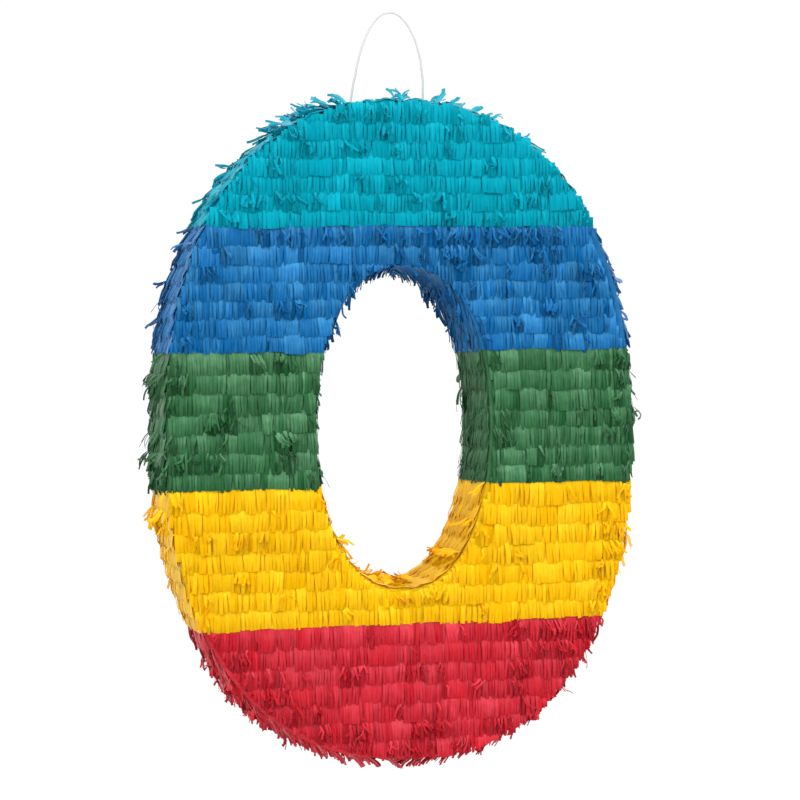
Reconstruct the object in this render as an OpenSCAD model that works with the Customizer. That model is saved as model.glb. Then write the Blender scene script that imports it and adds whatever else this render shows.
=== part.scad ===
// Hanging party pinata in the shape of the numeral zero: a hollow cardboard shell,
// covered with rows of fringed paper in five colours, on a loop of white cord.
// Origin: underside of the cord loop at its top, where it hangs. Front face towards -Y.

/* [Shell] */
// Width of the flat faces
face_w = 393; // [385:1:400]
// Height of the flat faces
face_h = 540; // [530:1:550]
// Squareness of the outer outline (2 is an ellipse)
outer_power = 2.27; // [2.1:0.01:2.4]
// Depth over the two cardboard panels
panel_depth = 84; // [78:1:90]
// Thickness of the panel cardboard
panel_t = 3; // [2:0.5:4]
// Thickness of the wall cardboard
wall_t = 2; // [1.5:0.5:2.5]

/* [Hole of the numeral] */
// Width of the hole in the panels
hole_w = 150; // [140:1:160]
// Height of the hole in the panels
hole_h = 272; // [264:1:280]
// Squareness of the hole's outline (2 is an ellipse)
hole_power = 2.22; // [2.1:0.01:2.4]
// How far the hole's centre is above the shell's centre
hole_raise = 3; // [0:1:6]

/* [Colour bands, from the top] */
// Height of the turquoise band
turquoise_h = 101; // [98:1:104]
// Height of the blue band
blue_h = 103; // [100:1:106]
// Height of the green band
green_h = 112; // [108:1:116]
// Height of the yellow band
yellow_h = 114; // [110:1:118]

/* [Fringed paper] */
// Rows of fringe in each band of a face
rows_per_band = 7; // [6:1:8]
// Row pitch along the walls
wall_row_pitch = 15.5; // [13:0.5:18]
// How much the rows rise towards +X, in degrees
row_tilt = 0.9; // [0:0.1:1.5]
// Thickness of a face row at its free lower edge
face_fringe_t = 2.2; // [1.6:0.1:3]
// Thickness of an outer wall row at its free edge
wall_fringe_t = 4; // [3:0.1:4.5]
// Thickness of a hole wall row at its free edge
hole_fringe_t = 3; // [2:0.1:4]
// Width of the plain paper binding on each edge
binding_w = 4; // [3:0.5:6]

/* [Hanging loop] */
// Height from the top of the faces to the underside of the loop
loop_rise = 80; // [80:1:80]
// Cord diameter
cord_d = 2; // [1.6:0.1:2.4]
// Diameter of the knots inside the shell
knot_d = 8; // [6:0.5:9]

/* [Fill flap, in the back] */
// Width of the flap
flap_w = 90; // [70:1:100]
// Height of the flap
flap_h = 70; // [56:1:70]
// Height of the flap's crease above the shell's centre
flap_top = 240; // [236:1:242]
// Knife cut around the flap
flap_cut = 0.8; // [0.6:0.1:1.2]

/* [Hidden] */

turquoise = [0.02, 0.60, 0.69];
blue = [0.12, 0.44, 0.67];
green = [0.25, 0.45, 0.30];
yellow = [0.95, 0.74, 0.07];
red = [0.77, 0.18, 0.22];
kraft = [0.72, 0.56, 0.38];
tape_tan = [0.80, 0.68, 0.48];
cord_white = [0.93, 0.93, 0.92];

shell_z = -loop_rise - face_h / 2;
face_y = panel_depth / 2;
wall_y = face_y - panel_t;
binding_t = 0.4;
tape_t = 0.4;
tape_w = 50;
glue_gap = 0.3;
row_gap = 0.3;
row_base_t = 0.8;
outline_steps = 120;
arc_steps = 360;
big = 700;

// Band borders, as heights above the shell's centre
border = [
    face_h / 2,
    face_h / 2 - turquoise_h,
    face_h / 2 - turquoise_h - blue_h,
    face_h / 2 - turquoise_h - blue_h - green_h,
    face_h / 2 - turquoise_h - blue_h - green_h - yellow_h,
    -face_h / 2
];

// The cord swings on the shell about this line, just above the paper
pivot_z = -loop_rise + wall_fringe_t;
exit_left = -36;
exit_right = 27;
swing_gap = 0.4;
cord_hole_r = cord_d / 2 + 0.3;
paper_hole_r = 3;
patch_t = 3;
patch_half_arc = 60;
patch_half_y = 30;

// Route of the cord's middle line, as x and z, from the left exit to the right one
loop_route = [
    [exit_left, pivot_z], [-35, -70], [-34, -64], [-33, -58], [-31.5, -52], [-30.5, -46],
    [-29, -39.5], [-27, -32], [-24.5, -24.5], [-21.5, -17.5], [-18, -11], [-13.5, -5],
    [-8, -0.5], [-2, 1], [4, 0], [9.5, -4], [14, -9.5], [17.5, -15.5], [20.5, -22.5],
    [23, -30.5], [25, -39], [26, -47.5], [27, -56], [27, -66], [exit_right, pivot_z]
];

// ---- outlines ----
function sign_pow(v, p) = sign(v) * pow(abs(v), p);
function outer_pt(a, k) = [
    (face_w / 2 + k) * sign_pow(cos(a), 2 / outer_power),
    (face_h / 2 + k) * sign_pow(sin(a), 2 / outer_power)
];
function hole_pt(a, k) = [
    (hole_w / 2 + k) * sign_pow(cos(a), 2 / hole_power),
    hole_raise + (hole_h / 2 + k) * sign_pow(sin(a), 2 / hole_power)
];
function on_hole_pt(hole, a, k) = hole ? hole_pt(a, k) : outer_pt(a, k);
module outer_shape(k) polygon([for (i = [0:outline_steps - 1]) outer_pt(i * 360 / outline_steps, k)]);
module hole_shape(k) polygon([for (i = [0:outline_steps - 1]) hole_pt(i * 360 / outline_steps, k)]);

// Everything in the shell is drawn about the shell's centre, standing in the XZ plane
module shell() translate([0, 0, shell_z]) children();
// Turns a flat shape to stand between y0 and y1
module stand(y0, y1) translate([0, y1, 0]) rotate([90, 0, 0]) linear_extrude(y1 - y0) children();
// The front (side -1) is the mirror image of the back (side 1)
module face_side(side) mirror([0, side < 0 ? 1 : 0, 0]) children();

// ---- distance along the outline of one half, from its top to its bottom ----
function arc_angle(i) = 90 - 180 * i / arc_steps;
function arc_table(hole) = [
    for (
        i = 0, s = 0;
        i <= arc_steps;
        s = s + norm(on_hole_pt(hole, arc_angle(i + 1), 0) - on_hole_pt(hole, arc_angle(i), 0)),
        i = i + 1
    ) [s, arc_angle(i)]
];
outer_arc = arc_table(false);
hole_arc = arc_table(true);
function table(hole) = hole ? hole_arc : outer_arc;
function half_length(hole) = table(hole)[arc_steps][0];
function pt_at(hole, s, k) = on_hole_pt(hole, lookup(s, table(hole)), k);
// Where on the half at side (1 right, -1 left) a tilted border crosses the outline
function arc_of(hole, side, z) = lookup(-z, [
    for (e = table(hole))
        let (p = on_hole_pt(hole, e[1], 0))
            [side * p[0] * tan(row_tilt) - p[1], e[0]]
]);

// ---- cardboard ----
module flap_cutout(grow, top_grow)
    translate([-flap_w / 2 - grow, flap_top - flap_h - grow])
        square([flap_w + 2 * grow, flap_h + grow + top_grow]);

module panel_shape() difference() {
    outer_shape(0);
    hole_shape(0);
}

module front_panel() color(kraft) shell() stand(-face_y, -wall_y) panel_shape();

module back_panel() color(kraft) shell() stand(wall_y, face_y) difference() {
    panel_shape();
    flap_cutout(flap_cut, flap_cut / 2);
}

// One half of a wall strip, between two distances from the panel's edge
module half_strip(hole, side, k0, k1) mirror([side < 0 ? 1 : 0, 0]) polygon(concat(
    [for (i = [0:outline_steps / 2]) on_hole_pt(hole, 90 - i * 360 / outline_steps, k1)],
    [for (i = [outline_steps / 2:-1:0]) on_hole_pt(hole, 90 - i * 360 / outline_steps, k0)]
));

module cord_holes(r, z0, z1) for (x = [exit_left, exit_right])
    translate([x, 0, z0]) cylinder(r = r, h = z1 - z0, $fn = 32);

module outer_wall(side) color(kraft) shell() difference() {
    stand(-wall_y, wall_y) half_strip(false, side, -wall_t, 0);
    cord_holes(cord_hole_r, face_h / 2 - 30, face_h / 2 + 5);
}
module outer_wall_left() outer_wall(-1);
module outer_wall_right() outer_wall(1);

module hole_wall(side) color(kraft) shell() stand(-wall_y, wall_y) half_strip(true, side, 0, wall_t);
module hole_wall_left() hole_wall(-1);
module hole_wall_right() hole_wall(1);

// A curved strip lying across the top (end 0) or the bottom (end 1) of a wall, centred on x = 0
module seam_strip(hole, end, half_arc, k0, k1) {
    steps = 8;
    mid = end * half_length(hole);
    function at(i, k) = let (
        s = abs(mid - abs(i) * half_arc / steps),
        p = pt_at(hole, s, k)
    ) [sign(i) * abs(p[0]), p[1]];
    polygon(concat(
        [for (i = [-steps:steps]) at(i, k1)],
        [for (i = [steps:-1:-steps]) at(i, k0)]
    ));
}

module hanger_patch() color(kraft) shell() difference() {
    stand(-patch_half_y, patch_half_y)
        seam_strip(false, 0, patch_half_arc, -wall_t - glue_gap - patch_t, -wall_t - glue_gap);
    cord_holes(cord_hole_r, face_h / 2 - 30, face_h / 2 + 5);
}

module outer_seam_tape() color(tape_tan) shell() stand(-wall_y, wall_y)
    seam_strip(false, 1, tape_w / 2, -wall_t - glue_gap - tape_t, -wall_t - glue_gap);

module hole_seam_tapes() color(tape_tan) shell() stand(-wall_y, wall_y) for (end = [0, 1])
    seam_strip(true, end, tape_w / 2, wall_t + glue_gap, wall_t + glue_gap + tape_t);

// ---- hanging cord ----
function spline(p0, p1, p2, p3, u) = 0.5 * (
    2 * p1 + u * (p2 - p0) + u * u * (2 * p0 - 5 * p1 + 4 * p2 - p3)
    + u * u * u * (3 * p1 - p0 - 3 * p2 + p3)
);
cord_sides = 8;
rings_per_point = 2;
last_pt = len(loop_route) - 1;
function route_at(i) = loop_route[min(max(i, 0), last_pt)];
cord_line = [
    for (i = [0:last_pt - 1], j = [0:rings_per_point - 1])
        spline(route_at(i - 1), route_at(i), route_at(i + 1), route_at(i + 2), j / rings_per_point),
    loop_route[last_pt]
];
last_ring = len(cord_line) - 1;
function ring_dir(i) = let (d = cord_line[min(i + 1, last_ring)] - cord_line[max(i - 1, 0)]) d / norm(d);
function ring_pt(i, j) = let (
    d = ring_dir(i),
    a = 360 * j / cord_sides,
    across = cord_d / 2 * cos(a)
) [cord_line[i][0] - d[1] * across, cord_d / 2 * sin(a), cord_line[i][1] + d[0] * across];

module hanger_cord() color(cord_white) polyhedron(
    points = [for (i = [0:last_ring], j = [0:cord_sides - 1]) ring_pt(i, j)],
    faces = concat(
        [[for (j = [0:cord_sides - 1]) j]],
        [[for (j = [cord_sides - 1:-1:0]) last_ring * cord_sides + j]],
        [for (i = [0:last_ring - 1], j = [0:cord_sides - 1]) let (n = (j + 1) % cord_sides)
            [i * cord_sides + j, (i + 1) * cord_sides + j, (i + 1) * cord_sides + n, i * cord_sides + n]]
    )
);

// Each end of the cord runs through its hole to a stopper knot under the patch
module hanger_knots() color(cord_white) for (x = [exit_left, exit_right]) {
    roof = shell_z + pt_at(false, abs(x), -wall_t - glue_gap - patch_t)[1];
    under = roof - knot_d / 2 - 1.5;
    translate([x, 0, under]) {
        cylinder(d = cord_d, h = pivot_z - cord_d / 2 - swing_gap - under, $fn = 32);
        rotate_extrude($fn = 48) translate([knot_d / 4, 0]) circle(d = knot_d / 2, $fn = 32);
        sphere(d = knot_d / 2, $fn = 32);
        translate([0, 0, -18]) cylinder(d = cord_d, h = 18, $fn = 32);
    }
}

// ---- fringed paper on the faces ----
// One row of fringe: thin at its glued top edge, thick at its free lower edge
module face_row(z_high, z_low) rotate([90, 0, 90]) linear_extrude(big, center = true) polygon([
    [face_y, z_low + row_gap], [face_y + face_fringe_t, z_low + row_gap],
    [face_y + row_base_t, z_high], [face_y, z_high]
]);

module band_rows(band) {
    pitch = (border[band] - border[band + 1]) / rows_per_band;
    over = 12;
    rotate([0, -row_tilt, 0]) for (i = [0:rows_per_band - 1]) face_row(
        border[band] - i * pitch + (band == 0 && i == 0 ? over : 0),
        border[band] - (i + 1) * pitch - (band == 4 && i == rows_per_band - 1 ? over : 0)
    );
}

module face_fringe(band, side, half = 0) shell() face_side(side) intersection() {
    band_rows(band);
    stand(face_y - 1, face_y + face_fringe_t + 1) difference() {
        outer_shape(-binding_w);
        hole_shape(binding_w);
        if (side > 0) flap_cutout(flap_cut, 5);
    }
    if (half != 0) translate([half * big / 2, 0, 0]) cube(big, center = true);
}

module turquoise_front() color(turquoise) face_fringe(0, -1);
module blue_front() color(blue) face_fringe(1, -1);
module green_front_left() color(green) face_fringe(2, -1, -1);
module green_front_right() color(green) face_fringe(2, -1, 1);
module yellow_front() color(yellow) face_fringe(3, -1);
module red_front() color(red) face_fringe(4, -1);
module turquoise_back() color(turquoise) face_fringe(0, 1);
module blue_back() color(blue) face_fringe(1, 1);
module green_back_left() color(green) face_fringe(2, 1, -1);
module green_back_right() color(green) face_fringe(2, 1, 1);
module yellow_back() color(yellow) face_fringe(3, 1);
module red_back() color(red) face_fringe(4, 1);

// ---- fill flap, creased along its top edge ----
module fill_flap() color(kraft) shell() stand(wall_y, face_y) flap_cutout(0, 0);

module flap_fringe() color(turquoise) shell() intersection() {
    band_rows(0);
    stand(face_y - 1, face_y + face_fringe_t + 1)
        translate([-flap_w / 2 + 1, flap_top - flap_h + 1]) square([flap_w - 2, flap_h - 5]);
}

// ---- fringed paper around the walls ----
// Rows of one half between two distances along it; on the hole they grow inwards
module wall_rows(hole, side, s0, s1) {
    count = max(1, round((s1 - s0) / wall_row_pitch));
    pitch = (s1 - s0) / count;
    grow = hole ? -1 : 1;
    tip_t = hole ? hole_fringe_t : wall_fringe_t;
    bends = 3;
    mirror([side < 0 ? 1 : 0, 0, 0]) stand(binding_w - face_y, face_y - binding_w)
        for (i = [0:count - 1]) {
            from = s0 + i * pitch + row_gap / 2;
            step = (pitch - row_gap) / bends;
            polygon(concat(
                [for (j = [0:bends]) pt_at(hole, from + j * step,
                    grow * (row_base_t + (tip_t - row_base_t) * j / bends))],
                [for (j = [bends:-1:0]) pt_at(hole, from + j * step, grow * glue_gap)]
            ));
        }
}
module outer_rows(band, side) wall_rows(
    false, side,
    band == 0 ? 0 : arc_of(false, side, border[band]),
    band == 4 ? half_length(false) : arc_of(false, side, border[band + 1])
);
module inner_rows(band, side) wall_rows(
    true, side,
    band == 1 ? 0 : arc_of(true, side, border[band]),
    band == 3 ? half_length(true) : arc_of(true, side, border[band + 1])
);

module turquoise_outer() color(turquoise) shell() difference() {
    for (side = [-1, 1]) outer_rows(0, side);
    cord_holes(paper_hole_r, face_h / 2 - 30, face_h / 2 + 10);
}
module blue_outer_left() color(blue) shell() outer_rows(1, -1);
module blue_outer_right() color(blue) shell() outer_rows(1, 1);
module green_outer_left() color(green) shell() outer_rows(2, -1);
module green_outer_right() color(green) shell() outer_rows(2, 1);
module yellow_outer_left() color(yellow) shell() outer_rows(3, -1);
module yellow_outer_right() color(yellow) shell() outer_rows(3, 1);
module red_outer() color(red) shell() for (side = [-1, 1]) outer_rows(4, side);
module blue_inner() color(blue) shell() for (side = [-1, 1]) inner_rows(1, side);
module green_inner_left() color(green) shell() inner_rows(2, -1);
module green_inner_right() color(green) shell() inner_rows(2, 1);
module yellow_inner() color(yellow) shell() for (side = [-1, 1]) inner_rows(3, side);

// ---- plain paper bindings folded over the panels' edges ----
module binding_rings() for (side = [-1, 1]) face_side(side) {
    stand(face_y, face_y + binding_t) {
        difference() {
            outer_shape(binding_t);
            outer_shape(-binding_w + row_gap);
        }
        difference() {
            hole_shape(binding_w - row_gap);
            hole_shape(-binding_t);
        }
    }
    stand(face_y - binding_w + row_gap, face_y) {
        difference() {
            outer_shape(binding_t);
            outer_shape(0);
        }
        difference() {
            hole_shape(0);
            hole_shape(-binding_t);
        }
    }
}

module bindings(band) shell() intersection() {
    binding_rings();
    rotate([0, -row_tilt, 0]) translate([-big / 2, -big / 2, border[band + 1] - (band == 4 ? 20 : 0)])
        cube([big, big, border[band] - border[band + 1] + (band == 0 || band == 4 ? 20 : 0)]);
}
module turquoise_bindings() color(turquoise) bindings(0);
module blue_bindings() color(blue) bindings(1);
module green_bindings() color(green) bindings(2);
module yellow_bindings() color(yellow) bindings(3);
module red_bindings() color(red) bindings(4);

front_panel();
back_panel();
outer_wall_left();
outer_wall_right();
hole_wall_left();
hole_wall_right();
hanger_patch();
outer_seam_tape();
hole_seam_tapes();
hanger_cord();
hanger_knots();
fill_flap();
flap_fringe();
turquoise_front();
blue_front();
green_front_left();
green_front_right();
yellow_front();
red_front();
turquoise_back();
blue_back();
green_back_left();
green_back_right();
yellow_back();
red_back();
turquoise_outer();
blue_outer_left();
blue_outer_right();
green_outer_left();
green_outer_right();
yellow_outer_left();
yellow_outer_right();
red_outer();
blue_inner();
green_inner_left();
green_inner_right();
yellow_inner();
turquoise_bindings();
blue_bindings();
green_bindings();
yellow_bindings();
red_bindings();
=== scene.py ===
"""Looks of the hanging zero pinata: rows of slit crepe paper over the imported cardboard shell."""

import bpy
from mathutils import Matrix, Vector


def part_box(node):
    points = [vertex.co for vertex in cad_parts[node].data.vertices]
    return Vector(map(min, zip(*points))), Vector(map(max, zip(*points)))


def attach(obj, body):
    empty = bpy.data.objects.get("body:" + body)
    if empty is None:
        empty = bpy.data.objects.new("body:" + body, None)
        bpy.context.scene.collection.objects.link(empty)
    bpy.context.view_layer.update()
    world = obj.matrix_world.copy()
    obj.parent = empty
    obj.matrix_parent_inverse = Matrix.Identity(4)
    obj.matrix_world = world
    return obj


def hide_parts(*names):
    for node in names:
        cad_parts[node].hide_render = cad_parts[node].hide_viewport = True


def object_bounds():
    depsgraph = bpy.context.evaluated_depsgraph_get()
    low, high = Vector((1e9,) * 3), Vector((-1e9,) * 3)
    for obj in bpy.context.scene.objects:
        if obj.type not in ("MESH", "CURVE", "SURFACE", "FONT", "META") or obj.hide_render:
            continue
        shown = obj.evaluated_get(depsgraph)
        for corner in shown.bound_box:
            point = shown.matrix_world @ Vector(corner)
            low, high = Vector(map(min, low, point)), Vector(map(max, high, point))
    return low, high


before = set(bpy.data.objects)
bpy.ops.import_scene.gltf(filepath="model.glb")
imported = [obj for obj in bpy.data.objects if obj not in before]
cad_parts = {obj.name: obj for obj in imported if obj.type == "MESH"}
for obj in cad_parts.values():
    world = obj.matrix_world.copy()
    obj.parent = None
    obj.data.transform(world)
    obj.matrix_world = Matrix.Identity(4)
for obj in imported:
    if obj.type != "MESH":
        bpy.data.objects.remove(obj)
CAD_BOX = [list(corner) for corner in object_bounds()]

import math

import bpy
import numpy as np
from mathutils import Vector

MM = 0.001

# ---------------- frame sizes
PANEL_LOW, PANEL_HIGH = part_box("front_panel")
HOLE_LOW, HOLE_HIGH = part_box("hole_wall_right")
WALL_T = 2 * MM
HALF_W = (PANEL_HIGH.x - PANEL_LOW.x) / 2
HALF_H = (PANEL_HIGH.z - PANEL_LOW.z) / 2
CENTRE_Z = (PANEL_HIGH.z + PANEL_LOW.z) / 2
FACE_Y = -PANEL_LOW.y
HOLE_HALF_W = HOLE_HIGH.x - WALL_T
HOLE_HALF_H = (HOLE_HIGH.z - HOLE_LOW.z) / 2 - WALL_T
HOLE_RAISE = (HOLE_HIGH.z + HOLE_LOW.z) / 2 - CENTRE_Z
OUTER_POWER = 2.27
HOLE_POWER = 2.22
OUTER = (HALF_W, HALF_H, OUTER_POWER, 0.0)
HOLE = (HOLE_HALF_W, HOLE_HALF_H, HOLE_POWER, HOLE_RAISE)

# Bands from the top down: their heights, and their borders as heights above the shell's centre
BAND_NAMES = ["turquoise", "blue", "green", "yellow", "red"]
BAND_HEIGHTS = [0.101, 0.103, 0.112, 0.114]
BORDERS = [HALF_H - sum(BAND_HEIGHTS[:i]) for i in range(5)] + [-HALF_H]
ROWS_PER_BAND = 7
WALL_PITCH = 15.5 * MM
TILT = math.radians(0.9)
ROW_BASE = 0.8 * MM
FACE_TIP = 2.2 * MM
OUTER_TIP = 4 * MM
INNER_TIP = 3 * MM

# ---------------- camera
VIEW_TURN = math.radians(13.49)
CAMERA_DISTANCE = 2.117
CAMERA_RISE = 0.0466
LENS = 112.85
AIM_RIGHT = 0.0069
AIM_UP = 0.0246


def make_camera():
    centre = Vector((0, 0, CENTRE_Z))
    ahead = Vector((math.sin(VIEW_TURN), math.cos(VIEW_TURN), 0))
    right = Vector((math.cos(VIEW_TURN), -math.sin(VIEW_TURN), 0))
    place = centre - CAMERA_DISTANCE * ahead + Vector((0, 0, CAMERA_RISE))
    target = centre + AIM_RIGHT * right + Vector((0, 0, AIM_UP))
    data = bpy.data.cameras.new("camera")
    data.lens = LENS
    data.sensor_width = 36
    camera = bpy.data.objects.new("camera", data)
    bpy.context.scene.collection.objects.link(camera)
    camera.location = place
    camera.rotation_euler = (target - place).to_track_quat("-Z", "Y").to_euler()
    bpy.context.scene.camera = camera


make_camera()


# ---------------- mesh helpers
def add_mesh(name, points, faces, material, smooth=False):
    """A mesh object from an array of points and a list of arrays of faces."""
    mesh = bpy.data.meshes.new(name)
    mesh.vertices.add(len(points))
    mesh.vertices.foreach_set("co", np.asarray(points, np.float32).ravel())
    loops = np.concatenate([f.ravel() for f in faces]).astype(np.int32)
    sizes = np.concatenate([np.full(len(f), f.shape[1]) for f in faces]).astype(np.int32)
    starts = np.concatenate([[0], np.cumsum(sizes)[:-1]]).astype(np.int32)
    mesh.loops.add(len(loops))
    mesh.loops.foreach_set("vertex_index", loops)
    mesh.polygons.add(len(sizes))
    mesh.polygons.foreach_set("loop_start", starts)
    mesh.polygons.foreach_set("loop_total", sizes)
    mesh.polygons.foreach_set("use_smooth", np.full(len(sizes), smooth))
    mesh.update(calc_edges=True)
    mesh.validate()
    mesh.materials.append(material)
    piece = bpy.data.objects.new(name, mesh)
    bpy.context.scene.collection.objects.link(piece)
    return piece


# ---------------- cord
CORD_D = 2 * MM
CORD_ROUTE = [
    (-36, -76), (-35, -70), (-34, -64), (-33, -58), (-31.5, -52), (-30.5, -46),
    (-29, -39.5), (-27, -32), (-24.5, -24.5), (-21.5, -17.5), (-18, -11), (-13.5, -5),
    (-8, -0.5), (-2, 1), (4, 0), (9.5, -4), (14, -9.5), (17.5, -15.5), (20.5, -22.5),
    (23, -30.5), (25, -39), (26, -47.5), (27, -56), (27, -66), (27, -76)
]


def spline_through(points, steps):
    """A smooth line through the points."""
    p = np.asarray(points, float)
    padded = np.vstack([p[0], p, p[-1]])
    u = np.linspace(0, 1, steps, endpoint=False)[:, None]
    line = []
    for i in range(len(p) - 1):
        a, b, c, d = padded[i:i + 4]
        line.append(0.5 * (2 * b + u * (c - a) + u**2 * (2 * a - 5 * b + 4 * c - d)
                           + u**3 * (3 * b - a - 3 * c + d)))
    return np.vstack(line + [p[-1:]])


def along(line):
    return np.concatenate([[0], np.cumsum(np.linalg.norm(np.diff(line, axis=0), axis=1))])


def resampled(line, count):
    s = along(line)
    at = np.linspace(0, s[-1], count)
    return np.stack([np.interp(at, s, line[:, k]) for k in range(line.shape[1])], axis=1)


def tube_faces(count, around):
    """The quads between a tube's rings, and its two ends. Reversed, they face the other way."""
    i, j = np.meshgrid(np.arange(count - 1), np.arange(around), indexing="ij")
    n = (j + 1) % around
    quads = np.stack([i * around + j, (i + 1) * around + j, (i + 1) * around + n, i * around + n], -1)
    ends = np.stack([np.arange(around), (count - 1) * around + np.arange(around)[::-1]])
    return quads.reshape(-1, 4), ends


def rope(line, diameter, ply=3, lay=7 * MM, around=18):
    """A tube of twisted plies along a line, with closed ends: its points and faces."""
    s = along(line)
    tangent = np.gradient(line, axis=0)
    tangent /= np.linalg.norm(tangent, axis=1)[:, None]
    side = np.zeros_like(line)
    side[0] = np.cross(tangent[0], [0.0, 1.0, 0.001])
    for i in range(len(line)):
        last = side[max(i - 1, 0)]
        side[i] = last - tangent[i] * (last @ tangent[i])
        side[i] /= np.linalg.norm(side[i])
    other = np.cross(tangent, side)
    angle = np.linspace(0, 2 * math.pi, around, endpoint=False)
    turn = 2 * math.pi * s[:, None] / lay
    radius = diameter / 2 * (0.88 + 0.12 * np.abs(np.cos(ply / 2 * (angle[None] - turn))))
    ring = (radius * np.cos(angle))[..., None] * side[:, None]
    ring = ring + (radius * np.sin(angle))[..., None] * other[:, None]
    points = (line[:, None] + ring).reshape(-1, 3)
    quads, ends = tube_faces(len(line), around)
    return points, [np.roll(quads[:, ::-1], 1, axis=1), ends[:, ::-1]]


# ---------------- materials
def new_material(name):
    material = bpy.data.materials.new(name)
    material.use_nodes = True
    tree = material.node_tree
    shader = tree.nodes["Principled BSDF"]
    return material, tree, shader


def node(tree, kind, **values):
    made = tree.nodes.new("ShaderNode" + kind)
    for key, value in values.items():
        if key in made.inputs:
            made.inputs[key].default_value = value
        else:
            setattr(made, key, value)
    return made


def feed(tree, sockets, values):
    """Gives each socket a number, a colour or the output of another node."""
    for socket, value in zip(sockets, values):
        if isinstance(value, (int, float)):
            socket.default_value = value
        elif isinstance(value, tuple):
            socket.default_value = (*value, 1)
        else:
            tree.links.new(value, socket)


def math_node(tree, operation, a, b, clamp=False):
    made = node(tree, "Math", operation=operation, use_clamp=clamp)
    feed(tree, made.inputs, (a, b))
    return made.outputs[0]


def mix_colour(tree, blend, factor, a, b):
    made = node(tree, "Mix", data_type="RGBA", blend_type=blend)
    feed(tree, (made.inputs[0], made.inputs[6], made.inputs[7]), (factor, a, b))
    return made.outputs[2]


def scaled(tree, vector, scale):
    made = node(tree, "Mapping")
    made.inputs["Scale"].default_value = scale
    tree.links.new(vector, made.inputs["Vector"])
    return made.outputs[0]


def noise(tree, vector, scale, detail=3, rough=0.5):
    made = node(tree, "TexNoise", Scale=scale, Detail=detail, Roughness=rough)
    tree.links.new(vector, made.inputs["Vector"])
    return made.outputs["Fac"]


def times(tree, a, b, clamp=False):
    return math_node(tree, "MULTIPLY", a, b, clamp)


def plus(tree, a, b):
    return math_node(tree, "ADD", a, b)


def by_place(tree):
    return node(tree, "TexCoord").outputs["Object"]


def spread(tree, value, scale, base):
    return plus(tree, times(tree, value, scale), base)


def grey_of(tree, level):
    made = node(tree, "CombineColor")
    feed(tree, made.inputs, (level, level, level))
    return made.outputs[0]


def shaded(tree, colour, level):
    return mix_colour(tree, "MULTIPLY", 1.0, colour, grey_of(tree, level))


def bumped(tree, shader, height, strength, distance):
    bump = node(tree, "Bump", Strength=strength, Distance=distance)
    tree.links.new(height, bump.inputs["Height"])
    tree.links.new(bump.outputs[0], shader.inputs["Normal"])


LIGHT_THROUGH = 0.38


def let_through(tree, shader, colour):
    """Thin paper: part of the light goes through it and takes its colour."""
    through = node(tree, "BsdfTranslucent")
    tree.links.new(colour, through.inputs["Color"])
    both = node(tree, "MixShader")
    both.inputs[0].default_value = LIGHT_THROUGH
    tree.links.new(shader.outputs[0], both.inputs[1])
    tree.links.new(through.outputs[0], both.inputs[2])
    tree.links.new(both.outputs[0], tree.nodes["Material Output"].inputs["Surface"])


def paper_material(name, colour, washed):
    """Crepe tissue: fibres, fine crinkles, uneven dye, and a pale bloom where it is rubbed. The tint it
    reads also carries painted light and shade, and a painted grey sheen.
    """
    material, tree, shader = new_material(name)
    uv = node(tree, "UVMap", uv_map="paper").outputs[0]
    tint = node(tree, "Attribute", attribute_name="tint").outputs["Color"]
    parts = node(tree, "SeparateColor")
    tree.links.new(tint, parts.inputs[0])
    bright, fade, painted_sheen = parts.outputs
    fibres = noise(tree, scaled(tree, uv, (1.6, 0.12, 1)), 1.0, 4, 0.6)
    crinkle = noise(tree, scaled(tree, uv, (0.25, 1.5, 1)), 1.0, 3, 0.6)
    cloud = noise(tree, by_place(tree), 26, 2)
    rubbed = times(tree, noise(tree, by_place(tree), 130, 2), 1.4)
    wash = plus(tree, spread(tree, fibres, 1.5, -0.5), rubbed)
    wash = times(tree, fade, wash, clamp=True)
    base = mix_colour(tree, "MIX", wash, colour, washed)
    # Painted sheen: a pale grey, streaked along the fibres, stands in for the sheen of paper seen at a
    # grazing angle.
    grey_part = times(tree, painted_sheen, times(tree, fibres, 1.1), clamp=True)
    dull = tuple(0.5 * c + 0.24 for c in washed)
    base = mix_colour(tree, "MIX", grey_part, base, dull)
    streaks, patches = spread(tree, fibres, 0.34, 0.83), spread(tree, cloud, 0.2, 0.9)
    level = times(tree, streaks, patches)
    level = times(tree, level, times(tree, bright, 2.0))
    dyed = shaded(tree, base, level)
    tree.links.new(dyed, shader.inputs["Base Color"])
    let_through(tree, shader, dyed)
    tree.links.new(spread(tree, crinkle, 0.24, 0.46), shader.inputs["Roughness"])
    height = plus(tree, fibres, times(tree, crinkle, 1.2))
    bumped(tree, shader, height, 0.45, 0.0004)
    shader.inputs["Specular IOR Level"].default_value = 0.22
    shader.inputs["Specular Tint"].default_value = (*washed, 1)
    shader.inputs["Sheen Weight"].default_value = 0.06
    shader.inputs["Sheen Roughness"].default_value = 0.4
    return material


PAPERS = {
    "turquoise": paper_material("crepe_turquoise", (0.0, 0.30, 0.41), (0.006, 0.47, 0.58)),
    "blue": paper_material("crepe_blue", (0.0, 0.116, 0.36), (0.055, 0.29, 0.575)),
    "green": paper_material("crepe_green", (0.014, 0.104, 0.029), (0.130, 0.32, 0.165)),
    "yellow": paper_material("crepe_yellow", (0.79, 0.435, 0.0), (0.86, 0.635, 0.02)),
    "red": paper_material("crepe_red", (0.53, 0.009, 0.019), (0.71, 0.070, 0.100)),
}


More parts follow.
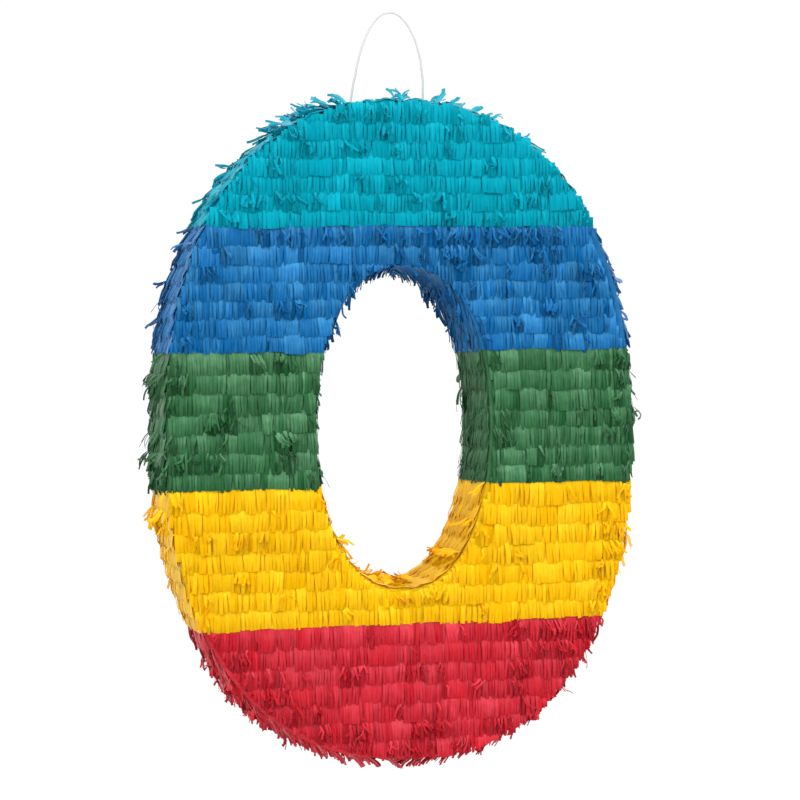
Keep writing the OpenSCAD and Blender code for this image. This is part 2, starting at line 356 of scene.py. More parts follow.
def tape_material(name, colour):
    """Gummed paper tape: a fine grain and soft patches."""
    material, tree, shader = new_material(name)
    grain = noise(tree, by_place(tree), 900, 3, 0.6)
    cloud = noise(tree, by_place(tree), 30, 2)
    patches = spread(tree, cloud, 0.3, 0.62)
    level = plus(tree, times(tree, grain, 0.3), patches)
    tree.links.new(shaded(tree, colour, level), shader.inputs["Base Color"])
    bumped(tree, shader, grain, 0.4, 0.0003)
    tree.links.new(spread(tree, cloud, 0.2, 0.5), shader.inputs["Roughness"])
    return material


def cardboard_material(name, colour):
    """Kraft board: felted fibres, specks, faint flute lines and a rough bump."""
    material, tree, shader = new_material(name)
    place = by_place(tree)
    fibres = noise(tree, scaled(tree, place, (900, 900, 160)), 1.0, 4, 0.6)
    specks = noise(tree, place, 1400, 1)
    speck = math_node(tree, "GREATER_THAN", specks, 0.66)
    cloud = noise(tree, place, 18, 3)
    flutes = node(tree, "TexWave", bands_direction="X", Scale=22, Distortion=0.4)
    tree.links.new(place, flutes.inputs["Vector"])
    patches = spread(tree, cloud, 0.25, 0.62)
    level = plus(tree, times(tree, fibres, 0.35), patches)
    level = math_node(tree, "SUBTRACT", level, times(tree, speck, 0.18))
    level = plus(tree, level, times(tree, flutes.outputs["Fac"], 0.06))
    tree.links.new(shaded(tree, colour, level), shader.inputs["Base Color"])
    height = plus(tree, fibres, times(tree, flutes.outputs["Fac"], 0.8))
    bumped(tree, shader, height, 0.35, 0.0005)
    tree.links.new(spread(tree, cloud, 0.1, 0.78), shader.inputs["Roughness"])
    return material


def cord_material():
    """Bleached cotton cord: soft fibres that catch the light, slightly grey in the lay."""
    material, tree, shader = new_material("white_cord")
    fuzz = noise(tree, by_place(tree), 2600, 3, 0.7)
    tree.links.new(grey_of(tree, spread(tree, fuzz, 0.18, 0.40)), shader.inputs["Base Color"])
    bumped(tree, shader, fuzz, 0.5, 0.0002)
    shader.inputs["Roughness"].default_value = 0.7
    return material


KRAFT_COLOUR = (0.50, 0.31, 0.155)
KRAFT = cardboard_material("kraft_cardboard", KRAFT_COLOUR)
TAPE = tape_material("gummed_tape", (0.62, 0.45, 0.25))
CORD = cord_material()


def make_cord():
    line = spline_through([(x * MM, 0, z * MM) for x, z in CORD_ROUTE], 12)
    line = resampled(line, 360)
    points, faces = rope(line, CORD_D)
    piece = add_mesh("hanging_cord", points, faces, CORD, smooth=True)
    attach(piece, "hanger")
    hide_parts("hanger_cord")


make_cord()


# ---------------- surfaces that carry fringe
def inside_face(x, z, inset, by_hole=None):
    """Whether a place is on a face, this far in from its outer edge and from its hole's."""
    by_hole = inset if by_hole is None else by_hole
    outer = (np.abs(x) / (HALF_W - inset)) ** OUTER_POWER
    outer = outer + (np.abs(z) / (HALF_H - inset)) ** OUTER_POWER
    hole = (np.abs(x) / (HOLE_HALF_W + by_hole)) ** HOLE_POWER
    hole = hole + (np.abs(z - HOLE_RAISE) / (HOLE_HALF_H + by_hole)) ** HOLE_POWER
    return (outer <= 1) & (hole >= 1)


def paper_on_face(face, x, z, ragged):
    """Where strands lie: over the folded edge strips too, but for a few stretches left bare.
    ragged runs from 0 to 1 and is different for each strand."""
    x = -x * face.side
    bare = ((x > 0) & (z > 66 * MM) & (z < 168 * MM)) | ((x < -20 * MM) & (z < -160 * MM))
    bare_hole = (x > 0) & (np.abs(z - 30 * MM) < 85 * MM)
    up = np.clip(z / HALF_H, 0, 1)
    outer = np.where(bare, 4.8 - 2.8 * ragged ** 2, 0.5 - (2.6 + 3 * up) * ragged ** 0.6)
    return inside_face(x, z, outer * MM, np.where(bare_hole, 2.4, 0.8 - 1.4 * ragged) * MM)


# What a strand's habit holds, in this order: degrees, shares of its length and millimetres
LEAN, RISE, FALL, CURL, BEGIN, EXTRA, UP, TWIST, CRINKLE, SWAY = range(10)
BRIGHT, FADE = -2, -1

# How many numbers of its own a strand has before its habit: its place, width, crease, place on the
# paper's map, narrowing, phase, painted shade on its cut edges, painted sheen and late start
OWN = 9

# The middle and spread of each number of a habit, for every way that strands lie
HANGING = [
    (0, 4.5), (17, 6), (10, 5), (0, 8), (0.45, 0.1), (0, 0.9), (0.3, 0.3), (0, 14), (0, 5), (0, 3)
]
CRUMPLED = [
    (0, 36), (32, 14), (4, 16), (55, 65), (0.3, 0.2), (-2, 2.5), (0.9, 0.6), (0, 60), (42, 24), (0, 40)
]
COMBED = [
    (0, 10), (11, 8), (6, 8), (4, 24), (0.5, 0.15), (2.5, 3), (0.5, 0.5), (0, 48), (0, 14), (0, 14)
]
STANDING = [
    (0, 24), (60, 14), (-8, 18), (20, 50), (0.5, 0.15), (-6, 3.5), (0.8, 0.6), (0, 45), (0, 22), (0, 18)
]


class Face:
    """The front (side -1) or back (side 1) face. s runs down the rows, w along them, h outwards."""
    calm, wild, pale = HANGING, CRUMPLED, 0.0

    def __init__(self, side):
        self.side = side

    def hold(self, centre):
        """Keeps strands from standing too far off the face."""
        high = 5 * MM
        over = np.clip(centre[..., 1] - high, 0, None)
        centre[..., 1] -= over - high * np.tanh(over / high)

    def flat(self, s, w):
        x = w * math.cos(TILT) + s * math.sin(TILT)
        z = w * math.sin(TILT) - s * math.cos(TILT)
        return x, z

    def place(self, s, h, w):
        x, z = self.flat(s, w)
        return np.stack([x, self.side * (FACE_Y + h), z + CENTRE_Z], -1)

    def down(self, s):
        """How steeply the outward side looks down, from -1 (up) to 1 (down)."""
        return np.zeros_like(s)


def superellipse(angle, hole):
    """Places on the outline of a face's outer edge or of its hole."""
    half_w, half_h, power, raised = HOLE if hole else OUTER
    c, s = np.cos(angle), np.sin(angle)
    x = half_w * np.sign(c) * np.abs(c) ** (2 / power)
    return x, half_h * np.sign(s) * np.abs(s) ** (2 / power) + raised


class Wall:
    """One half of the outer wall or of the hole's wall. s runs along it from the top."""
    # pale is a painted sheen: the walls' strands are painted paler, as paper looks at a grazing angle.
    calm, wild, pale = COMBED, STANDING, 0.25

    def hold(self, centre):
        """Keeps strands from leaning too far past the faces."""
        far = np.clip(np.abs(centre[..., 2]) - FACE_Y, 0, None)
        reach = 8 * MM
        centre[..., 2] -= np.sign(centre[..., 2]) * (far - reach * np.tanh(far / reach))

    def __init__(self, hole, side):
        x, z = superellipse(np.radians(np.linspace(90, -90, 721)), hole)
        self.side, self.hole = side, hole
        # The hole's walls get much less painted grey sheen than the outer wall.
        self.loose, self.sheen_share = (0.6, 0.15) if hole else (1.0, 1.0)
        self.s = along(np.stack([x, z], -1))
        self.x, self.z = x, z
        dx, dz = np.gradient(x, self.s), np.gradient(z, self.s)
        size = np.hypot(dx, dz)
        sign = -1 if hole else 1
        self.nx, self.nz = -dz / size * sign, dx / size * sign
        self.length = self.s[-1]

    def place(self, s, h, w):
        x, z, nx, nz = (np.interp(s, self.s, v) for v in (self.x, self.z, self.nx, self.nz))
        over = np.clip(s - self.length, 0, None)
        return np.stack([self.side * (x + nx * h - over), w, z + nz * h + CENTRE_Z], -1)

    def down(self, s):
        return -np.interp(s, self.s, self.nz)

    def crossing(self, border):
        """Where a band's tilted border meets this half."""
        level = self.z - self.side * self.x * math.tan(TILT)
        order = np.argsort(level)
        return float(np.interp(border, level[order], self.s[order]))

    def rows(self, band, first, last):
        """(start, end) of each row of one band, as distances along the wall."""
        top = 0.0 if band == first else self.crossing(BORDERS[band])
        low = self.length if band == last else self.crossing(BORDERS[band + 1])
        count = max(1, round((low - top) / WALL_PITCH))
        pitch = (low - top) / count
        return [(top + i * pitch, top + (i + 1) * pitch) for i in range(count)]


# ---------------- strands
RINGS = 8
THICK = 0.14 * MM
SHORTEST = 2.5 * MM
LONGEST = 26 * MM

# Each colour's paper on the faces: the strands' width in mm, how often they stay stuck together as a
# block or taper to a wedge, how deep they are creased in mm, how uneven their dye is and how much
# painted shade darkens their cut edges, the strands under crumpled ones and the walls in the hole. On
# the walls: their width in mm, how loose they are, and how much painted light brightens them
CUTS = {
    "turquoise": {"wide": 3.2, "blocks": 0.2, "wedges": 0.5, "ridge": 0.25, "dye": 0.5, "edge": 0.14,
                  "wall": 3.2, "loose": 0.6, "painted_light": 0.5},
    "blue": {"wide": 2.6, "blocks": 0.35, "wedges": 0.3, "ridge": 0.2, "dye": 1.2, "edge": 0.2,
             "wall": 2.8, "loose": 0.7, "painted_light": 0.1},
    "green": {"wide": 2.6, "blocks": 0.4, "wedges": 0.3, "ridge": 0.2, "dye": 1.2, "edge": 0.22,
              "wall": 2.1, "loose": 0.5, "painted_light": 0.05},
    "yellow": {"wide": 3.0, "blocks": 0.35, "wedges": 0.2, "ridge": 0.1, "dye": 0.6, "edge": 0.03,
               "wall": 3.0, "loose": 0.3, "painted_light": 0.22},
    "red": {"wide": 2.4, "blocks": 0.25, "wedges": 0.35, "ridge": 0.22, "dye": 0.9, "edge": 0.16,
            "wall": 2.6, "loose": 0.7, "painted_light": 0.0},
}


class Strands:
    """Collects the paper strands of one piece, and turns them into one mesh."""

    def __init__(self, seed, colour):
        self.rng = np.random.default_rng(seed)
        self.colour = colour
        self.cut = CUTS[colour]
        self.points, self.uvs, self.tints = [], [], []

    def habit(self, way, overlap):
        """One draw of how a strand is bent, and of its brightness and fading."""
        rng, dye = self.rng, self.cut["dye"]
        bent = rng.normal(*np.array(way).T)
        bent[EXTRA] += overlap
        bent[UP] = abs(bent[UP])
        return np.array([*bent, rng.normal(1, 0.075 * dye), rng.beta(1.4, 1.6)])

    def row(self, surface, low_w, high_w, s_top, s_low, tip, mess, overlap=3.0, reach=None,
            gap_at=None):
        """One row of strands hung from s_top, over the row's slab and past s_low. mess(s, w) is how
        crumpled the paper is. reach(w) gives where it may start and end, gap_at(w) where none hangs."""
        phase = self.rng.uniform(0, 2 * math.pi, 2)
        cells = []
        w = low_w
        while w < high_w:
            crumple = float(mess(0.5 * (s_top + s_low), w))
            w = self.group(cells, surface, w, s_top, crumple, overlap)
        c = np.array(cells).T
        c[OWN + EXTRA] += 0.7 * np.sin(c[0] / 0.031 + phase[0]) + 0.4 * np.sin(c[0] / 0.012 + phase[1])
        keep = np.ones(c.shape[1], bool)
        start = np.full(c.shape[1], s_top - 1.2 * MM)
        end = np.full(c.shape[1], np.inf)
        if reach is not None:
            start, end, keep = reach(c[0])
        if gap_at is not None:
            keep &= ~gap_at(c[0])
        if keep.any():
            self.build(surface, c[:, keep], start[keep], end[keep], s_top, s_low, tip)

    def group(self, cells, surface, w, s_top, crumple, overlap):
        """Adds the next few strands of a row, which share part of their habit. Returns their end."""
        rng, cut, on_wall = self.rng, self.cut, surface.calm is COMBED
        wild = rng.random() < (0.55 * crumple if on_wall else 0.03 + 0.04 * cut["dye"] + 0.8 * crumple)
        block = not on_wall and rng.random() < cut["blocks"] * (1 - crumple)
        count = int(rng.integers(3, 8)) if block else 1 + int(rng.poisson(1.0))
        way = surface.wild if wild else surface.calm
        shared = self.habit(way, overlap)
        # Blocks come out paler; surface.pale adds the painted sheen of the walls.
        shared[FADE] = min(shared[FADE] + (0.22 * cut["dye"] if block else 0) + surface.pale, 1)
        # Painted light: strands on the walls are painted brighter than those on the faces.
        shared[BRIGHT] += cut["painted_light"] * on_wall
        own = 0.25 if block else 0.65
        middle = cut["wall"] if on_wall else cut["wide"]
        if wild:
            middle *= 0.85 if on_wall else 0.75
        for k in range(count):
            wide = float(np.clip(rng.normal(middle, 0.2 * middle), 1.2, 4.8))
            habit = (1 - own) * shared + own * self.habit(way, overlap)
            if block:
                self.arch(habit, (2 * k + 1 - count) / count)
            form = self.form(surface, block, on_wall)
            if on_wall:
                self.fit_to_wall(habit, surface, w, s_top, wild)
            if crumple < 0:
                habit[[RISE, CURL, TWIST, CRINKLE]] *= 0.25
            self.add(cells, surface, w + wide / 2 * MM, wide, form, habit, wild, overlap)
            w += wide * (0.78 if on_wall else 0.7 if wild else 1.0) * MM
        return w + abs(rng.normal(0.1, 0.25)) * MM

    def arch(self, habit, across):
        """Makes a strand part of a block that bulges in its middle."""
        habit[UP] += 0.4 * (1 - across * across)
        habit[TWIST] -= 7 * across

    def form(self, surface, block, on_wall):
        """A strand's crease, how much it narrows to its tip, the painted shade on its cut edges and its
        painted sheen.
        """
        rng, cut = self.rng, self.cut
        ridge = cut["ridge"] * (0.2 if block else abs(rng.normal(1, 0.5)))
        wedge = not block and rng.random() < cut["wedges"]
        narrow = rng.uniform(0.2, 0.5) if wedge else rng.uniform(0, 0.02 if block else 0.06)
        edge = cut["edge"] * (0.3 if block else 1)
        return ridge, narrow, edge, surface.sheen_share * rng.beta(0.8, 1.6) if on_wall else 0.0

    def fit_to_wall(self, habit, surface, w, s_top, wild):
        """Calms a strand on a wall, and turns its face towards the front."""
        loose = self.cut["loose"]
        habit[[RISE, TWIST]] *= surface.loose * (0.9 if wild else loose)
        habit[[CURL, CRINKLE, UP]] *= 1 if wild else 0.6
        turned = np.clip(0.5 - 1.5 * w / FACE_Y, -1, 1)
        habit[TWIST] += turned * (60 if wild else 40 * surface.loose * loose)
        # Painted shade in the hole: its strands are painted darker, except yellow's, which come out a
        # little lighter.
        habit[BRIGHT] += (0.06 - 0.7 * self.cut["edge"]) * surface.hole
        if wild:
            habit[RISE] += 25 * max(-surface.down(s_top), 0)

    def add(self, cells, surface, w, wide, form, habit, wild, overlap):
        """Adds one strand, and a calm one under it where it is wild. The wild strand gets a painted
        highlight, the one under it painted shade.
        """
        rng, on_wall, late = self.rng, surface.calm is COMBED, 0.0
        ridge, narrow, edge, painted_sheen = form
        if wild:
            # Painted highlight: a crumpled strand that stands up is painted brighter.
            habit[BRIGHT] += rng.uniform(0, 0.25)
            under = self.habit(surface.calm, overlap)
            # Painted shade: the calm strand under a crumpled one is painted darker.
            under[BRIGHT] -= self.cut["edge"] * (1 if on_wall else 1.5)
            broad = wide * (1.1 if on_wall else 1.4)
            cells.append((w, broad, ridge, rng.uniform(0, 100), 0.1, 0, edge, 0, 0, *under))
            late = 0 if on_wall else rng.uniform(0, 4) * MM
        offset, phase = rng.uniform(0, 100), rng.uniform(0, 6.3)
        cells.append((w, wide, ridge, offset, narrow, phase, edge, painted_sheen, late, *habit))

    def build(self, surface, c, start, end, s_top, s_low, tip):
        """Turns the row's strands into closed ribbons of RINGS rings of six points."""
        _, wide, ridge, offset, narrow, _, edge, painted_sheen, late = c[:OWN]
        up, twist, bright, fade = c[[OWN + UP, OWN + TWIST, BRIGHT, FADE]][:, :, None]
        t = np.linspace(0, 1, RINGS)[None]

        def floor(s):
            slab = ROW_BASE + (tip - ROW_BASE) * np.clip((s - s_top) / (s_low - s_top), 0, 1)
            return np.maximum(slab - 0.45 * np.clip(s - s_low, 0, None), ROW_BASE + 0.7 * MM)

        start = start + late
        centre, forward, yaw, length = self.bend(surface, c, t, start, end, s_low)
        own = (0.25 + up * np.clip(2 * t, 0, 1)) * MM
        from_glue = centre[..., 1] + floor(start)[:, None]
        centre[..., 1] = np.maximum(from_glue + own, floor(centre[..., 0]) + own)
        surface.hold(centre)
        across = np.stack([-np.sin(yaw), np.zeros_like(yaw), np.cos(yaw)], -1)
        normal = np.cross(across, forward)
        roll = (np.radians(twist) * np.clip(1.8 * t, 0, 1))[..., None]
        across, normal = (np.cos(roll) * across + np.sin(roll) * normal,
                          np.cos(roll) * normal - np.sin(roll) * across)
        half = ((wide / 2 * MM)[:, None] * (1.04 - narrow[:, None] * t ** 1.5))[..., None]
        hump = (ridge * MM)[:, None, None] * (0.35 + 0.65 * t[..., None])
        rings = [centre + across * half * k + normal * (hump * (1 - abs(k)) - layer * THICK)
                 for layer, k in ((0, -1), (0, 0), (0, 1), (1, 1), (1, 0), (1, -1))]
        local = np.stack(rings, axis=2)
        lift = np.array([0.2, 0.2, 0.2, 0.04, 0.04, 0.04]) * MM
        local[..., 1] = np.maximum(local[..., 1], floor(local[..., 0]) + lift)
        self.points.append(surface.place(local[..., 0], local[..., 1], local[..., 2]).reshape(-1, 3))
        self.colour_in(t, wide, offset, length, bright, fade, edge, painted_sheen)

    def bend(self, surface, c, t, start, end, s_low):
        """The middle lines of a row's strands, with their directions and lengths."""
        w0, phase = c[0], c[5][:, None]
        lean, rise, fall, curl, begin, extra, _, _, crinkle, sway = c[OWN:BRIGHT, :, None]
        droop = np.clip(surface.down(start + 8 * MM), 0, 1)[:, None] ** 2
        low = s_low + (extra - 6 * droop)[:, 0] * MM
        length = np.clip(np.minimum(low, end) - start, SHORTEST, LONGEST)
        short = np.clip(length / (14 * MM), 0.2, 1)[:, None]
        begin = np.clip(begin, 0.05, 0.8)
        curled = np.clip((t - begin) / (1 - begin), 0, 1) ** 1.3
        pitch = rise * short * (1 - t) - fall * short * (1 - droop) * t
        pitch = pitch + 50 * droop * t + curl * short * curled
        pitch = pitch + crinkle * np.sin(phase + 8.5 * t) * np.clip(2.5 * t, 0, 1)
        pitch = np.radians(np.clip(pitch, -60, 230))
        yaw = np.radians(lean * (0.3 + 0.9 * t) + sway * np.cos(1.7 * phase + 7 * t) * t)
        flat = np.cos(pitch)
        forward = np.stack([flat * np.cos(yaw), np.sin(pitch), flat * np.sin(yaw)], -1)
        step = (length / (RINGS - 1))[:, None, None]
        travel = np.zeros((len(w0), RINGS, 3))
        travel[:, 1:] = np.cumsum(0.5 * (forward[:, 1:] + forward[:, :-1]) * step, axis=1)
        return travel + np.stack([start, np.zeros(len(w0)), w0], -1)[:, None], forward, yaw, length

    def colour_in(self, t, wide, offset, length, bright, fade, edge, painted_sheen):
        """Maps each strand, and paints shade on its tip and its cut edges, so they come out darker than
        its middle, and painted light near its root, so that comes out paler.
        """
        shape = (len(wide), RINGS, 6)
        t, side = t[..., None], np.array([1, 0, 1, 1, 0, 1])
        u = np.array([0, 0.5, 1, 1, 0.5, 0]) * wide[:, None, None] + offset[:, None, None] * 7
        v = t * (length / MM)[:, None, None] + offset[:, None, None] * 13
        mapped = [np.broadcast_to(u, shape), np.broadcast_to(v, shape)]
        self.uvs.append(np.stack(mapped, -1).reshape(-1, 2))
        # Painted shade: the cut edges darken, more towards the tip, and the whole strand darkens towards
        # its tip.
        edge_shade = edge[:, None, None] * (0.25 + 0.75 * t) * side
        level = bright[..., None] * (1.06 - 0.12 * t ** 2 - edge_shade)
        # fade is the strand's own uneven dye; painting it strongest near the root is painted light, and
        # weaker at the edges towards the tip painted shade.
        pale = np.clip(fade[..., None] * (1.25 - 0.8 * t) * (1 - 0.5 * t * side), 0, 1)
        # The painted grey sheen.
        grey = np.broadcast_to(painted_sheen[:, None, None], shape)
        shade = [np.broadcast_to(level / 2, shape), np.broadcast_to(pale, shape), grey]
        self.tints.append(np.stack(shade, -1).reshape(-1, 3))

    def piece(self, name, cad_node, body):
        """The strands with a copy of the CAD rows they are glued to, in place of that node."""
        strands = np.concatenate(self.points)
        base, triangles = node_mesh(cad_node)
        points = np.concatenate([strands, base])
        made = add_mesh(name, points, [strand_faces(len(strands)), triangles + len(strands)],
                        PAPERS[self.colour], smooth=True)
        sharpen(made.data, len(strands))
        base_uv = np.stack([base[:, 0] + base[:, 1], base[:, 2]], -1) / MM
        # Painted light: the copied rows under the strands are painted brighter than the strands, lifting
        # the shade seen in the gaps between them.
        base_tint = np.tile([0.60, 0.45, 0.0], (len(base), 1))
        dress(made.data, np.concatenate(self.uvs + [base_uv]), np.concatenate(self.tints + [base_tint]))
        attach(made, body)
        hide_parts(cad_node)


def node_mesh(name):
    """The points and triangles of a CAD node."""
    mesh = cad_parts[name].data
    points = np.zeros(len(mesh.vertices) * 3, np.float32)
    mesh.vertices.foreach_get("co", points)
    mesh.calc_loop_triangles()
    triangles = np.zeros(len(mesh.loop_triangles) * 3, np.int32)
    mesh.loop_triangles.foreach_get("vertices", triangles)
    return points.reshape(-1, 3), triangles.reshape(-1, 3)


def strand_faces(points):
    """The faces of closed strands whose rings have six points each."""
    first = np.arange(points // (RINGS * 6)) * RINGS * 6
    quads = [(r * 6 + k, (r + 1) * 6 + k, (r + 1) * 6 + (k + 1) % 6, r * 6 + (k + 1) % 6)
             for r in range(RINGS - 1) for k in range(6)]
    end = (RINGS - 1) * 6
    quads += [(0, 1, 4, 5), (1, 2, 3, 4)]
    quads += [(end + 5, end + 4, end + 1, end), (end + 4, end + 3, end + 2, end + 1)]
    return (first[:, None, None] + np.array(quads)[None]).reshape(-1, 4)


def sharpen(mesh, points):
    """Keeps strands smooth along their two faces only, and everything after them faceted."""
    ends = np.zeros(len(mesh.edges) * 2, np.int32)
    mesh.edges.foreach_get("vertices", ends)
    ends = ends.reshape(-1, 2)
    ring, place = ends % (RINGS * 6) // 6, ends % 6
    crossing = ring[:, 0] != ring[:, 1]
    middle = (place == 1) | (place == 4)
    soft = np.where(crossing, middle.all(axis=1), middle.any(axis=1) & (ring[:, 0] % (RINGS - 1) > 0))
    sharp = ~soft | (ends >= points).any(axis=1)
    mesh.attributes.new("sharp_edge", "BOOLEAN", "EDGE").data.foreach_set("value", sharp)


def dress(mesh, uvs, tints):
    """Gives a mesh the paper map and the tint that the paper materials read."""
    loops = np.zeros(len(mesh.loops), np.int32)
    mesh.loops.foreach_get("vertex_index", loops)
    mesh.uv_layers.new(name="paper").data.foreach_set("uv", uvs[loops].astype(np.float32).ravel())
    rgba = np.concatenate([tints, np.ones((len(tints), 1))], axis=1).astype(np.float32)
    mesh.attributes.new("tint", "FLOAT_COLOR", "POINT").data.foreach_set("color", rgba.ravel())


# ---------------- where the paper is crumpled
# Crumpled places on the faces, in mm: x, height above the centre, half width, half height, strength
FACE_CRUMPLES = [
    (-112, 191, 20, 9, 1.0), (-85, 193, 16, 8, 0.8), (-86, 232, 12, 7, 0.9), (-50, 231, 9, 6, 0.7),
    (-115, 221, 10, 6, 0.5), (-48, 205, 10, 7, 0.6), (-33, 192, 14, 9, 0.5), (-8, 184, 10, 7, 0.7),
    (18, 192, 20, 9, 0.7), (45, 247, 14, 7, 0.6), (10, 252, 14, 8, 0.4), (75, 178, 10, 7, 0.6),
    (95, 192, 8, 7, 0.5), (122, 206, 8, 8, 0.5), (70, 226, 7, 7, 0.5), (-132, 206, 12, 8, 0.4),
    (-62, 164, 24, 7, 0.9), (-108, 161, 10, 7, 0.4), (22, 165, 30, 7, 0.8), (95, 163, 40, 8, 1.0),
    (45, 150, 24, 8, 0.8), (-10, 154, 14, 8, 0.5), (120, 152, 24, 8, 0.6), (155, 137, 14, 9, 1.0),
    (168, 118, 10, 7, 0.6), (150, 84, 16, 7, 0.6), (-158, 148, 8, 10, 0.5), (-55, 140, 12, 8, 0.5),
    (-108, 104, 8, 7, 0.5), (-175, 72, 12, 8, 0.5), (186, 92, 10, 9, 0.6), (-155, 24, 8, 8, 0.6),
    (-150, 6, 11, 8, 0.8), (-118, 25, 8, 7, 0.5), (-170, -22, 15, 8, 0.9), (-105, -22, 8, 7, 0.6),
    (-188, -26, 10, 12, 0.6), (-80, 8, 7, 7, 0.7), (-190, 40, 8, 9, 0.5), (188, 55, 11, 10, 0.8),
    (168, 17, 16, 8, 0.7), (154, 10, 8, 8, 0.6), (150, -10, 10, 7, 0.4), (128, -22, 16, 7, 0.6),
    (188, -30, 9, 9, 0.8), (82, 12, 6, 10, 0.5), (90, -10, 8, 7, 0.4), (-130, -87, 12, 7, 0.8),
    (-178, -86, 9, 8, 0.6), (-157, -92, 7, 7, 0.6), (-166, -132, 9, 8, 0.6), (145, -107, 8, 7, 0.6),
    (165, -132, 9, 7, 0.6), (180, -88, 9, 9, 0.6), (40, -120, 7, 7, 0.4), (130, -178, 30, 14, 0.9),
    (118, -196, 24, 12, 0.8), (95, -206, 18, 10, 0.6), (150, -170, 14, 10, 0.7), (-48, -205, 10, 8, 0.6),
    (6, -200, 11, 8, 0.6), (-130, -200, 12, 10, 0.7), (-110, -216, 15, 10, 0.7), (-55, -249, 30, 8, 0.7),
    (-85, -230, 14, 8, 0.6), (35, -248, 36, 7, 0.8), (72, -247, 16, 10, 0.8), (0, -222, 12, 7, 0.5),
    (-142, -184, 10, 8, 0.6), (-15, -175, 10, 8, 0.5), (45, -168, 9, 8, 0.5), (90, -225, 14, 7, 0.6),
]

# Tufts on the outer wall and in the hole, in mm: x, height above the centre, radius, strength
WALL_TUFTS = [
    (-78, 258, 26, 1.0), (-22, 269, 12, 0.9), (8, 270, 11, 0.9), (44, 266, 13, 0.9), (80, 256, 8, 0.5),
    (-158, 196, 9, 0.7), (-184, 152, 10, 0.6), (-196, 38, 11, 0.9), (-196, -28, 16, 1.0),
    (-193, -74, 9, 0.7), (182, 132, 15, 0.7), (191, 82, 11, 0.9), (196, 18, 9, 0.5), (190, -88, 9, 0.6),
    (172, -155, 11, 0.8), (154, -190, 14, 1.0), (136, -214, 12, 0.8), (-150, -204, 15, 0.7),
    (-122, -232, 15, 0.9), (-65, -258, 16, 0.9), (-25, -268, 14, 0.8), (12, -269, 11, 0.8),
    (65, -260, 9, 0.7), (105, -238, 9, 0.6), (-62, 78, 14, 0.8), (-74, -42, 9, 0.9),
    (-58, -95, 9, 0.7), (-12, -132, 16, 0.8), (48, -108, 10, 0.7), (74, 30, 8, 0.5), (40, 118, 9, 0.5),
]


def crumple_at(x, z, places):
    """The strongest of the crumples that reach a place, given in metres."""
    worst = 0.0
    for px, pz, wide, high, strength in places:
        far = math.hypot((x / MM - px) / wide, (z / MM - pz) / high)
        worst = max(worst, strength * min(max(2.6 - 2 * far, 0), 1))
    return worst


def face_mess(face):
    """The back's crumples are the front's, turned half round the shell's own axis."""
    places = [(px * -face.side, pz, wide, high, much) for px, pz, wide, high, much in FACE_CRUMPLES]

    def mess(s, w):
        x, z = face.flat(s, w)
        rim = 0.06 if inside_face(x, z, 12 * MM) else 0.32
        return min(crumple_at(x, z, places) + rim, 1.0)
    return mess


CORD_LANES = ((-42 * MM, -21 * MM), (17 * MM, 33 * MM))


def wall_mess(wall):
    """How loose the strands of a wall are. They stay flat where the cord's legs swing over them."""
    places = [(x, z, r, r, much) for x, z, r, much in WALL_TUFTS]

    def mess(s, w):
        x, _, z = wall.place(np.float64(s), 0.0, 0.0)
        z = z - CENTRE_Z
        if not wall.hole and z > 0 and any(low < x < high for low, high in CORD_LANES):
            return -0.04
        anywhere = 0.18 if wall.side > 0 and not wall.hole else 0.06
        return min(crumple_at(x, z, places) + anywhere, 1.0)
    return mess


# ---------------- fringe on the faces and walls
FLAP_LOW, FLAP_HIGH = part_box("fill_flap")
FLAP_CREASE = FLAP_HIGH.z - CENTRE_Z
FLAP_FOOT = FLAP_LOW.z - CENTRE_Z
FLAP_HALF = FLAP_HIGH.x


def over_flap(x, z, grow, above):
    return (np.abs(x) < FLAP_HALF + grow) & (z > FLAP_FOOT - grow) & (z < FLAP_CREASE + above)


def face_reach(face, s_top, s_low, on_flap, hang_over, rng):
    """For each strand's place along a row, where its paper starts and where it has to end."""
    def reach(w):
        s = np.arange(s_top, s_low + 8 * MM, 0.5 * MM)
        x, z = face.flat(s[None], w[:, None])
        paper = paper_on_face(face, x, z, rng.random((len(w), 1)))
        if face.side > 0:
            flap = over_flap(x, z, -2 * MM, -4 * MM)
            paper &= flap if on_flap else ~over_flap(x, z, 2 * MM, 6.5 * MM)
        begins = paper & (s < s_low - 3.5 * MM)[None]
        keep = begins.any(axis=1)
        first = begins.argmax(axis=1)
        left = ~paper & (np.arange(len(s))[None] > first[:, None])
        last = left.argmax(axis=1)
        ends = np.where(left.any(axis=1), s[last], np.inf)
        start = s[first] + np.where(first > 0, 0.3, -1.2) * MM
        return start, ends + hang_over(w, ends), keep
    return reach


